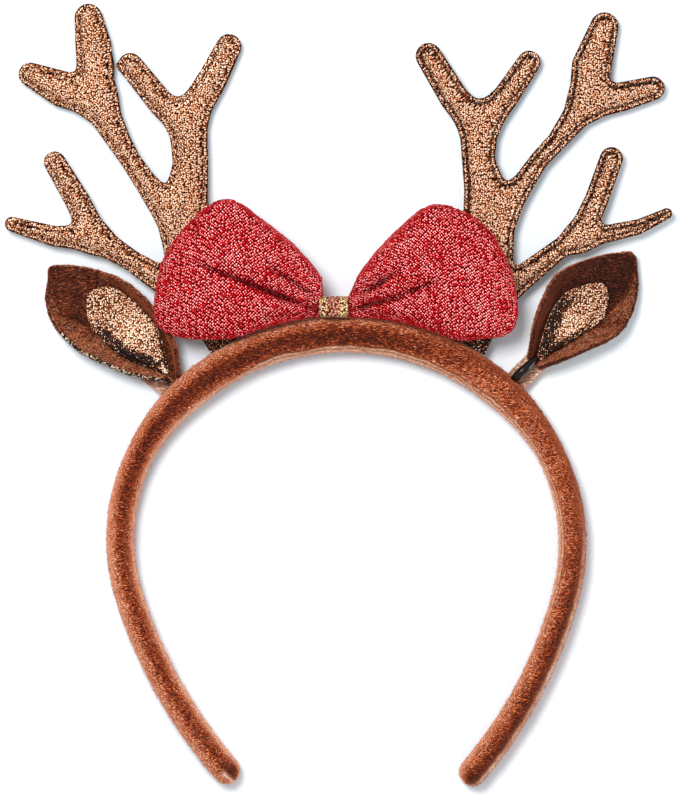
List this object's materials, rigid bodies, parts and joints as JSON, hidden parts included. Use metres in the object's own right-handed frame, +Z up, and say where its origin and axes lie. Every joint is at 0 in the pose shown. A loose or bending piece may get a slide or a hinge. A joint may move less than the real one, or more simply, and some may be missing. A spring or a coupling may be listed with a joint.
{
  "type": "antler headband",
  "caption": "Costume headband: a padded felt hoop with glitter-fabric reindeer antlers, cupped felt ears and a stuffed red bow in a gold band.",
  "frame": {"origin": "middle of the hoop's crown, on the plane that the hoop's side rests on", "axes": "+Z up from the surface, out of the headband's front; +Y from the leg tips to the antler tips; +X to the wearer's left"},
  "size_m": [0.2004, 0.2349, 0.0202],
  "materials": {
    "rust_felt": "fuzzy needle-punched felt",
    "copper_glitter": "copper glitter fabric",
    "red_knit": "red knit with metallic yarn",
    "gold_knit": "gold metallic knit",
    "brown_felt": "dark brown felt",
    "gold_glitter": "pale gold glitter fabric with a black backing",
    "tan_felt": "tan felt",
    "black_cord": "glossy black cord"
  },
  "bodies": {
    "root": {"hoop": "rust_felt", "antler_left_front": "copper_glitter", "antler_left_back": "copper_glitter", "antler_right_front": "copper_glitter", "antler_right_back": "copper_glitter", "bow": "red_knit", "bow_band": "gold_knit", "ear_left_felt": "brown_felt", "ear_right_felt": "brown_felt", "ear_left_lining": "gold_glitter", "ear_right_lining": "gold_glitter", "ear_left_tab": "tan_felt", "ear_right_tab": "tan_felt", "ear_right_stem": "black_cord"}
  },
  "joints": []
}
